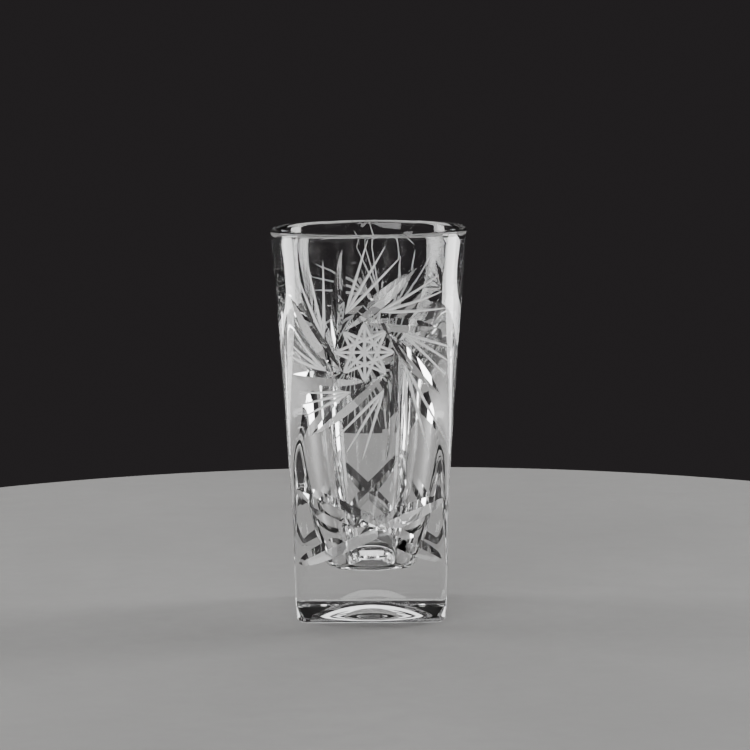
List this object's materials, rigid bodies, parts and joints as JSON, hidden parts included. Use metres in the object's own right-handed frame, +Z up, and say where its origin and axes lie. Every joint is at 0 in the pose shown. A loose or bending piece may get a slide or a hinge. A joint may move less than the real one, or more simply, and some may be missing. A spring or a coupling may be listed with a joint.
{
  "type": "shot glass",
  "caption": "Tall cut crystal shot glass with a heavy square foot, sides that soften into a nearly round rim, a round bowl, pinwheel cuts front and back and crossed cuts low on every side.",
  "frame": {"origin": "centre of the foot's underside, in the plane that the glass stands on", "axes": "+Z up along the glass's own axis; -Y is the front side, with a pinwheel; +Y is the back, with the same pinwheel; +X and -X are the plain sides"},
  "size_m": [0.0432, 0.0432, 0.086],
  "materials": {
    "crystal": "clear polished crystal, with fine matte cut lines"
  },
  "bodies": {
    "root": {"glass_body": "crystal"}
  },
  "joints": []
}
